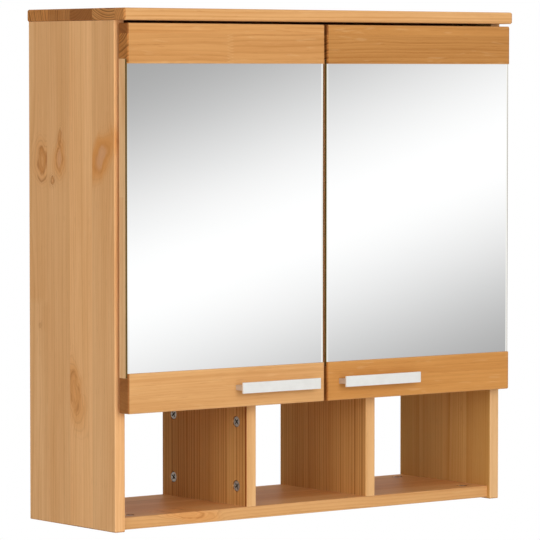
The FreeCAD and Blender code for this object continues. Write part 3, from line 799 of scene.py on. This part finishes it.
def make_plywood():
    """Peeled veneer on the faces, and the crossed plies as stripes on the cut edges."""
    material, surface = new_material("plywood")
    place = place_on(material)
    x, y, _ = place.split()
    grain = use_group(material.node_tree, FIBRE, {"Board": place})
    fibre, canal = grain["Fibre"], grain["Canal"]
    wander = noise(place.scaled(*VENEER_WANDER), detail=3.0)
    figure = (wander * FIGURE_BENDS + x * FIGURE_LINES).part()
    figure = figure.ramp(*FIGURE_RISE) * figure.ramp(*FIGURE_FALL, 1.0, 0.0)
    tone = figure * FIGURE_SHARE + fibre * VENEER_FIBRE - VENEER_START
    ply = (y / PLY_THICKNESS).part().ramp(*PLY_EDGE)
    edge = facing(material, AXES["y"]).size().ramp(*CUT_EDGE, 1.0, 0.0)
    colour = blend(edge, blend(tone, *VENEER_TONES), blend(ply, *PLY_TONES))
    dress(surface, colour, fibre * GRAIN_ROUGHNESS + PLYWOOD_ROUGHNESS)
    add_relief(surface, fibre - canal, VENEER_RELIEF)
    return material


def make_beech():
    """Dowels of pale beech with short flecks."""
    material, surface = new_material("beech")
    fleck = noise(place_on(material), BEECH_FLECKS, 1.0).ramp(*BEECH_FLECK_EDGE)
    cloud = noise(place_on(material), BEECH_CLOUDS, 3.0)
    colour = blend(fleck * 0.5 + cloud * 0.5, *BEECH_TONES)
    dress(surface, colour, cloud * GRAIN_ROUGHNESS + BEECH_ROUGHNESS)
    add_relief(surface, fleck * -1.0, BEECH_RELIEF)
    return material


def make_silicone():
    """Milky clear stick-on bumper, a little dusty."""
    material, surface = new_material("silicone")
    dust = noise(place_on(material), DUST_SCALE, 3.0)
    dress(surface, blend(dust, *SILICONE_TONES), dust * DUST_ROUGHNESS + SILICONE_ROUGHNESS)
    feed(surface.inputs["Subsurface Weight"], SILICONE_MILKINESS)
    feed(surface.inputs["Subsurface Radius"], (SILICONE_DEPTH, SILICONE_DEPTH, SILICONE_DEPTH))
    add_relief(surface, dust, DUST_RELIEF)
    return material


SATIN = metal("satin_metal", shade(243, 242, 238), shade(227, 225, 219), metallic=0.40,
              roughness=0.38, lines=(40.0, 2600.0, 2600.0))
POST = metal("turned_post", shade(222, 216, 208), shade(194, 186, 176), metallic=0.55,
             roughness=0.36, lines=(1500.0, 60.0, 1500.0))
NICKEL = metal("nickel_steel", shade(206, 202, 194), shade(168, 164, 156), metallic=0.95,
               roughness=0.28, lines=(700.0, 700.0, 60.0))
BRIGHT = metal("bright_steel", shade(214, 212, 208), shade(176, 174, 170), metallic=0.95,
               roughness=0.24, lines=(900.0, 900.0, 900.0))
ZINC = metal("zinc", shade(194, 186, 174), shade(134, 125, 113), metallic=0.65,
             roughness=0.44, lines=(900.0, 900.0, 900.0))
SILICONE = make_silicone()

paint(make_plywood(), "back_panel")
paint(make_beech(), "wooden_dowels", "left_door_dowels", "right_door_dowels")
paint(BRIGHT, "back_panel_nails", "cam_bolts", "shelf_pins")
for door in DOORS:
    paint(SATIN, door + "_door_handle_bar")
    paint(POST, door + "_door_handle_posts")
    paint(BRIGHT, door + "_door_hinge_pins")
    for level in ("upper", "lower"):
        paint(NICKEL, f"{door}_{level}_hinge_arm", f"{door}_{level}_hinge_plate",
              f"{door}_door_{level}_hinge_cup")


def show(name, mesh, body, replaced, bend=35):
    """Finished piece: smooth where it is round, moving with its body in place of the frame's node."""
    mesh.shade_smooth()
    mesh.set_sharp_from_angle(angle=math.radians(bend))
    piece = bpy.data.objects.new(name, mesh)
    bpy.context.scene.collection.objects.link(piece)
    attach(piece, body)
    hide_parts(replaced)


# Mirrors: silvered sheets with a ground bevel, a dark arris and glass edge, and a painted back
BEVEL_WIDTH = 2.6 * MM
BEVEL_DROP = 0.136 * MM
ARRIS_WIDTH = 1.0 * MM
ARRIS_DROP = 0.3 * MM
SILVER, BEVEL, EDGE, BACK = range(4)

SILVER_TONES = shade(252, 252, 252), shade(249, 250, 250)
WIPED_SCALE = (5.0, 5.0, 14.0)
WIPED_EDGE = (0.45, 0.8)
WIPED_ROUGHNESS = 0.035
BEVEL_TONES = shade(252, 251, 247), shade(246, 246, 240)
GRINDING_SCALE = (1400.0, 200.0, 1400.0)
GRINDING_ROUGHNESS = 0.03
BEVEL_ROUGHNESS = 0.005
EDGE_TONES = shade(124, 97, 42), shade(92, 71, 30)
EDGE_SCALE = (60.0, 700.0, 60.0)
EDGE_ROUGHNESS = 0.35
EDGE_SHEEN = 0.1
BACK_TONES = shade(128, 118, 106), shade(104, 95, 85)
COAT_SCALE = 260.0
COAT_ROUGHNESS = 0.5
COAT_RELIEF = 0.1 * MM


def make_mirror_silver():
    """Silvered face, with hardly any trace of wiping."""
    material, surface = new_material("mirror_silver")
    wiped = noise(place_on(material).scaled(*WIPED_SCALE), detail=4.0)
    roughness = wiped.ramp(*WIPED_EDGE, 0.0, WIPED_ROUGHNESS)
    dress(surface, blend(wiped, *SILVER_TONES), roughness, metallic=1.0)
    return material


def make_mirror_bevel():
    """Ground and polished border of the face."""
    material, surface = new_material("mirror_bevel")
    grinding = noise(place_on(material).scaled(*GRINDING_SCALE))
    roughness = grinding * GRINDING_ROUGHNESS + BEVEL_ROUGHNESS
    dress(surface, blend(grinding, *BEVEL_TONES), roughness, metallic=1.0)
    return material


def make_mirror_edge():
    """Cut edge and arris, dark as deep glass."""
    material, surface = new_material("mirror_edge")
    depth = noise(place_on(material).scaled(*EDGE_SCALE))
    dress(surface, blend(depth, *EDGE_TONES), depth * GRAIN_ROUGHNESS + EDGE_ROUGHNESS)
    feed(surface.inputs["Specular IOR Level"], EDGE_SHEEN)
    return material


def make_mirror_back():
    """Painted back."""
    material, surface = new_material("mirror_back")
    coat = noise(place_on(material), COAT_SCALE, 3.0)
    dress(surface, blend(coat, *BACK_TONES), coat * DUST_ROUGHNESS + COAT_ROUGHNESS)
    add_relief(surface, coat, COAT_RELIEF)
    return material


def make_mirror(door, finishes):
    """Sheet built in loops from its face to its back: bevel, arris and edge lie between them."""
    node = door + "_door_mirror"
    low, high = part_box(node)
    form = bmesh.new()

    def loop(y, inset):
        corners = ((low.x + inset, low.z + inset), (high.x - inset, low.z + inset),
                   (high.x - inset, high.z - inset), (low.x + inset, high.z - inset))
        return [form.verts.new((x, y, z)) for x, z in corners]

    face = loop(low.y, BEVEL_WIDTH + ARRIS_WIDTH)
    brim = loop(low.y + BEVEL_DROP, ARRIS_WIDTH)
    rim = loop(low.y + BEVEL_DROP + ARRIS_DROP, 0.0)
    back = loop(high.y, 0.0)
    form.faces.new(face).material_index = SILVER
    form.faces.new(back).material_index = BACK
    for first, second, part in ((face, brim, BEVEL), (brim, rim, EDGE), (rim, back, EDGE)):
        for corner in range(4):
            after = (corner + 1) % 4
            band = (first[corner], first[after], second[after], second[corner])
            form.faces.new(band).material_index = part
    bmesh.ops.recalc_face_normals(form, faces=form.faces)
    mesh = bpy.data.meshes.new(node)
    form.to_mesh(mesh)
    form.free()
    for finish in finishes:
        mesh.materials.append(finish)
    show(door + "_mirror_sheet", mesh, door + "_door", node, bend=1)


mirror_finishes = (make_mirror_silver(), make_mirror_bevel(), make_mirror_edge(), make_mirror_back())
for door in DOORS:
    make_mirror(door, mirror_finishes)


# Cam discs and screws with a cross recess, and domed bumpers, each turned by a chance angle
ROUND_SIDES = 32
LEAST_TURN = 0.45
TURN_SPREAD = 0.7
CUTTER_SIZE = 50 * MM
SAME_PLACE = 1e-6


def new_tree(name, sizes):
    """Geometry node tree with named inputs, and its input fields and output socket."""
    tree = bpy.data.node_groups.new(name, "GeometryNodeTree")
    tree.interface.new_socket("Points", in_out="INPUT", socket_type="NodeSocketGeometry")
    for label in sizes:
        tree.interface.new_socket(label, in_out="INPUT", socket_type="NodeSocketFloat")
    tree.interface.new_socket("Turn Seed", in_out="INPUT", socket_type="NodeSocketInt")
    tree.interface.new_socket("Finish", in_out="INPUT", socket_type="NodeSocketMaterial")
    tree.interface.new_socket("Pieces", in_out="OUTPUT", socket_type="NodeSocketGeometry")
    source = tree.nodes.new("NodeGroupInput")
    result = tree.nodes.new("NodeGroupOutput").inputs["Pieces"]
    return tree, {socket.name: Field(socket) for socket in source.outputs[:-1]}, result


def raised(mesh, height):
    """Mesh moved up by a height."""
    lift = vector(0.0, 0.0, height) if isinstance(height, Field) else (0.0, 0.0, height)
    inputs = {"Geometry": mesh, "Translation": lift}
    return Field(add(mesh.tree, "GeometryNodeTransform", inputs).outputs[0])


def cone(tree, foot, top, height, start):
    """Closed round with these radii, from start upwards."""
    inputs = {"Vertices": ROUND_SIDES, "Radius Bottom": foot, "Radius Top": top, "Depth": height}
    return raised(Field(add(tree, "GeometryNodeMeshCone", inputs).outputs["Mesh"]), start)


def unite(*solids):
    """One solid from several."""
    node = add(solids[0].tree, "GeometryNodeMeshBoolean", operation="UNION", solver="EXACT")
    for solid in solids:
        feed(node.inputs["Mesh 2"], solid)
    return Field(node.outputs["Mesh"])


def cut(solid, *tools):
    """Solid with the tools' shapes taken out of it."""
    node = add(solid.tree, "GeometryNodeMeshBoolean", {"Mesh 1": solid}, operation="DIFFERENCE",
               solver="EXACT")
    for tool in tools:
        feed(node.inputs["Mesh 2"], tool)
    return Field(node.outputs["Mesh"])


def place_on_points(tree, given, piece, result):
    """One piece on each point, along the point's aim and turned by chance, as a plain mesh."""
    aim = add(tree, "GeometryNodeInputNamedAttribute", {"Name": "aim"}, data_type="FLOAT_VECTOR")
    upright = add(tree, "FunctionNodeAlignRotationToVector", {"Vector": Field(aim.outputs[0])},
                  axis="Z")
    chance = add(tree, "FunctionNodeRandomValue", {"Seed": given["Turn Seed"]}, data_type="FLOAT")
    angle = Field(chance.outputs[1]) * TURN_SPREAD + LEAST_TURN
    turn = add(tree, "FunctionNodeAxisAngleToRotation", {"Axis": (0, 0, 1), "Angle": angle})
    turned = add(tree, "FunctionNodeRotateRotation", {"Rotation": Field(upright.outputs[0]),
                                                      "Rotate By": Field(turn.outputs[0])},
                 rotation_space="LOCAL")
    spread = add(tree, "GeometryNodeInstanceOnPoints",
                 {"Points": given["Points"], "Instance": piece,
                  "Rotation": Field(turned.outputs[0])})
    real = add(tree, "GeometryNodeRealizeInstances", {0: Field(spread.outputs[0])})
    done = add(tree, "GeometryNodeSetMaterial", {"Geometry": Field(real.outputs[0]),
                                                 "Material": given["Finish"]})
    feed(result, Field(done.outputs[0]))


def make_fastener_tree():
    """Round head with a chamfered rim and a cross recess, on a shank. Its face is at the point."""
    tree, given, result = new_tree(
        "cross_recess_fastener",
        ("Head Radius", "Rim Chamfer", "Head Height", "Foot Radius", "Recess Length",
         "Recess Width", "Recess Depth", "Shank Radius", "Shank Length"))
    radius, chamfer, height = given["Head Radius"], given["Rim Chamfer"], given["Head Height"]
    rim = cone(tree, radius, radius - chamfer, chamfer, chamfer * -1.0)
    head = cone(tree, given["Foot Radius"], radius, height - chamfer, height * -1.0)
    shank_radius, shank_length = given["Shank Radius"], given["Shank Length"]
    shank = cone(tree, shank_radius, shank_radius, shank_length + height * 0.5,
                 (shank_length + height) * -1.0)
    length, width, deep = given["Recess Length"], given["Recess Width"], given["Recess Depth"] * 2.0
    bars = [Field(add(tree, "GeometryNodeMeshCube", {"Size": vector(*size)}).outputs["Mesh"])
            for size in ((length, width, deep), (width, length, deep))]
    place_on_points(tree, given, cut(unite(rim, head, shank), *bars), result)
    return tree


def make_bumper_tree():
    """Domed bumper on a short straight foot, standing on the point."""
    tree, given, result = new_tree("domed_bumper", ("Radius", "Foot Height", "Height"))
    radius, foot_height = given["Radius"], given["Foot Height"]
    foot = cone(tree, radius, radius, foot_height, 0.0)
    ball = add(tree, "GeometryNodeMeshUVSphere",
               {"Segments": ROUND_SIDES, "Rings": ROUND_SIDES // 2, "Radius": 1.0})
    crown = vector(radius, radius, given["Height"] - foot_height)
    dome = add(tree, "GeometryNodeTransform",
               {"Geometry": Field(ball.outputs["Mesh"]), "Scale": crown})
    below = add(tree, "GeometryNodeMeshCube", {"Size": (CUTTER_SIZE, CUTTER_SIZE, CUTTER_SIZE)})
    below = raised(Field(below.outputs["Mesh"]), -CUTTER_SIZE / 2)
    dome = raised(cut(Field(dome.outputs[0]), below), foot_height)
    place_on_points(tree, given, unite(foot, dome), result)
    return tree


def loose_parts(node):
    """Lowest and highest corner of each separate solid in a node of the frame."""
    form = bmesh.new()
    form.from_mesh(nodes[node].data)
    bmesh.ops.remove_doubles(form, verts=form.verts, dist=SAME_PLACE)
    waiting = set(form.verts)
    parts = []
    while waiting:
        reached = [waiting.pop()]
        corners = []
        while reached:
            vert = reached.pop()
            corners.append(vert.co.copy())
            for edge in vert.link_edges:
                other = edge.other_vert(vert)
                if other in waiting:
                    waiting.remove(other)
                    reached.append(other)
        parts.append((Vector([min(values) for values in zip(*corners)]),
                      Vector([max(values) for values in zip(*corners)])))
    form.free()
    return sorted(parts, key=lambda part: tuple(round(value, 5) for value in part[0]))


def seats(node, aim, mirrored, at_foot, sunk):
    """Place, aim and length of each solid in a node. A mirrored aim turns round on the right half."""
    found = []
    for low, high in loose_parts(node):
        middle = (low + high) / 2
        pointing = Vector(aim)
        if mirrored and middle.x > 0:
            pointing.x = -pointing.x
        length = abs((high - low).dot(pointing))
        face = (-length if at_foot else length) / 2 - sunk
        found.append((middle + pointing * face, pointing, length - sunk))
    return found


def repeat(tree, node, body, finish, sizes, aim, mirrored=False, turn_seed=1, at_foot=False,
           sunk=0.0):
    """Pieces of one tree in place of all the solids of a node, as one plain mesh. Sizes in mm."""
    places, aims, lengths = zip(*seats(node, aim, mirrored, at_foot, sunk * MM))
    points = bpy.data.meshes.new(node + "_points")
    points.from_pydata(list(places), [], [])
    aimed = points.attributes.new("aim", "FLOAT_VECTOR", "POINT")
    for item, pointing in zip(aimed.data, aims):
        item.vector = pointing
    carrier = bpy.data.objects.new(node + "_points", points)
    bpy.context.scene.collection.objects.link(carrier)
    grower = carrier.modifiers.new("pieces", "NODES")
    grower.node_group = tree
    values = {label: size * MM for label, size in sizes.items()}
    if "Head Height" in sizes:
        values["Shank Length"] = lengths[0] - values["Head Height"]
    values.update({"Turn Seed": turn_seed, "Finish": finish})
    for item in tree.interface.items_tree:
        if item.in_out == "INPUT" and item.name in values:
            grower[item.identifier] = values[item.name]
    ready = carrier.evaluated_get(bpy.context.evaluated_depsgraph_get())
    mesh = bpy.data.meshes.new_from_object(ready)
    bpy.data.objects.remove(carrier)
    show(node + "_formed", mesh, body, node)


def labelled(**sizes):
    """Sizes under the names of a tree's inputs."""
    return {name.replace("_", " ").title(): size for name, size in sizes.items()}


FASTENER = make_fastener_tree()
BUMPER = make_bumper_tree()
CAM = labelled(head_radius=7.2, rim_chamfer=0.7, head_height=11.8, foot_radius=7.2,
               recess_length=9.0, recess_width=2.2, recess_depth=4.5, shank_radius=3.0)
CAM_SUNK = 0.7
COUNTERSUNK = labelled(head_radius=3.4, rim_chamfer=0.2, head_height=1.7, foot_radius=1.75,
                       recess_length=3.6, recess_width=0.8, recess_depth=1.1, shank_radius=1.75)
ARM_SCREW = labelled(head_radius=3.0, rim_chamfer=0.3, head_height=1.6, foot_radius=3.0,
                     recess_length=3.4, recess_width=0.8, recess_depth=0.9, shank_radius=1.5)
HANDLE_SCREW = labelled(head_radius=3.8, rim_chamfer=0.4, head_height=2.2, foot_radius=3.8,
                        recess_length=4.2, recess_width=1.0, recess_depth=1.2, shank_radius=2.0)
DOME = labelled(radius=4.0, foot_height=0.7, height=3.7)

for node, aim, seed in (("divider_cam_discs", (-1, 0, 0), 2), ("side_cam_discs", (1, 0, 0), 3),
                        ("shelf_cam_discs", (0, 0, 1), 4), ("floor_cam_discs", (0, 0, 1), 5)):
    repeat(FASTENER, node, "cabinet", ZINC, CAM, aim, mirrored=True, turn_seed=seed,
           sunk=CAM_SUNK)
for node, sizes, seed in (("hinge_plate_screws", COUNTERSUNK, 6), ("hinge_arm_screws", ARM_SCREW, 7)):
    repeat(FASTENER, node, "cabinet", BRIGHT, sizes, (1, 0, 0), mirrored=True,
           turn_seed=seed)
for door in DOORS:
    body = door + "_door"
    repeat(FASTENER, body + "_hinge_cup_screws", body, BRIGHT, COUNTERSUNK,
           (0, 1, 0), turn_seed=8)
    repeat(FASTENER, body + "_handle_screws", body, BRIGHT, HANDLE_SCREW,
           (0, 1, 0), turn_seed=9)
    repeat(BUMPER, body + "_bumpers", body, SILICONE, DOME, (0, 1, 0), at_foot=True)


# Camera, floor, lights and surroundings

def make_camera():
    """Camera at the photograph's place."""
    camera = bpy.data.objects.new("camera", bpy.data.cameras.new("camera"))
    camera.data.lens = CAMERA_LENS
    camera.data.sensor_width = CAMERA_SENSOR
    camera.location = CAMERA_PLACE
    camera.rotation_euler = (math.pi / 2 + CAMERA_PITCH, 0, -CAMERA_YAW)
    camera.data.clip_end = CAMERA_SIGHT
    bpy.context.scene.collection.objects.link(camera)
    bpy.context.scene.camera = camera


def seen_directly(tree):
    """Two switches: one for all that is seen, straight or in a mirror or glass, one for mirrors only.

    Both are 0 for what lights the surfaces.
    """
    path = add(tree, "ShaderNodeLightPath")
    camera, glossy, through = (Field(path.outputs[f"Is {kind} Ray"])
                               for kind in ("Camera", "Glossy", "Transmission"))
    return camera.most(glossy).most(through), glossy


def make_surroundings():
    """White studio: soft light from the front, and diagonal strips that only reflections show."""
    world = bpy.data.worlds.new("studio")
    world.use_nodes = True
    bpy.context.scene.world = world
    tree = world.node_tree
    direction = Field(add(tree, "ShaderNodeTexCoord").outputs["Generated"])
    sideways = direction.split()[0]
    shift = sideways.math("LESS_THAN", LEFT_BEVEL_TO) * LEFT_BEVEL_SHIFT
    from_strip = direction.toward(STRIP_NORMAL) - STRIP_OFFSET + shift
    strip = from_strip.math("PINGPONG", STRIP_HALF_WIDTH)
    strip = strip.ramp(0.0, STRIP_HALF_WIDTH, STRIP_WHITE, STRIP_GREY)
    right = sideways.math("GREATER_THAN", RIGHT_WALL_FROM)
    haze = sideways.math("COMPARE", HAZE_AT, HAZE_REACH) * HAZE
    strip = strip * (right + haze).rest() + right * RIGHT_WALL + haze
    seen, glossy = seen_directly(tree)
    sky = direction.toward(LIT_SIDE).ramp(UNLIT_UP_TO, LIT_FROM, UNLIT_SKY, LIT_SKY)
    light = seen * (glossy * strip + glossy.rest()) + seen.rest() * sky
    ground = tree.nodes["Background"]
    feed(ground.inputs["Color"], vector(light, light, light))
    feed(ground.inputs["Strength"], 1.0)


def make_floor():
    """Pale floor of the room, well below the hung cabinet. It is open from below."""
    mesh = bpy.data.meshes.new("floor")
    half = FLOOR_SIZE / 2
    level = cad_box[0].z - HANGING_HEIGHT
    mesh.from_pydata([(-half, -half, level), (half, -half, level), (half, half, level),
                      (-half, half, level)], [], [(0, 1, 2, 3)])
    floor = bpy.data.objects.new("floor", mesh)
    bpy.context.scene.collection.objects.link(floor)
    material, surface = new_material("pale_floor")
    tree = material.node_tree
    dress(surface, (FLOOR_SHADE, FLOOR_SHADE, FLOOR_SHADE, 1), FLOOR_ROUGHNESS)
    feed(surface.inputs["Emission Color"], (1, 1, 1, 1))
    feed(surface.inputs["Emission Strength"], seen_directly(tree)[0] * FLOOR_GLOW)
    clear = add(tree, "ShaderNodeBsdfTransparent")
    behind = add(tree, "ShaderNodeNewGeometry").outputs["Backfacing"]
    mix = add(tree, "ShaderNodeMixShader", {0: Field(behind), 1: Field(surface.outputs[0]),
                                            2: Field(clear.outputs[0])})
    feed(tree.nodes["Material Output"].inputs["Surface"], Field(mix.outputs[0]))
    mesh.materials.append(material)


def make_lamp(name, place, size, power):
    """Round softbox turned to the middle of the cabinet."""
    lamp = bpy.data.lights.new(name, "AREA")
    lamp.shape = "DISK"
    lamp.size = size
    lamp.energy = power
    holder = bpy.data.objects.new(name, lamp)
    holder.location = place
    aim = (cad_box[0] + cad_box[1]) / 2 - Vector(place)
    holder.rotation_euler = aim.to_track_quat("-Z", "Y").to_euler()
    holder.visible_glossy = False
    holder.visible_camera = False
    bpy.context.scene.collection.objects.link(holder)


make_camera()
make_surroundings()
make_floor()
for name, (place, size, power) in LAMPS.items():
    make_lamp(name, place, size, power)
bpy.context.scene.view_settings.view_transform = "Standard"
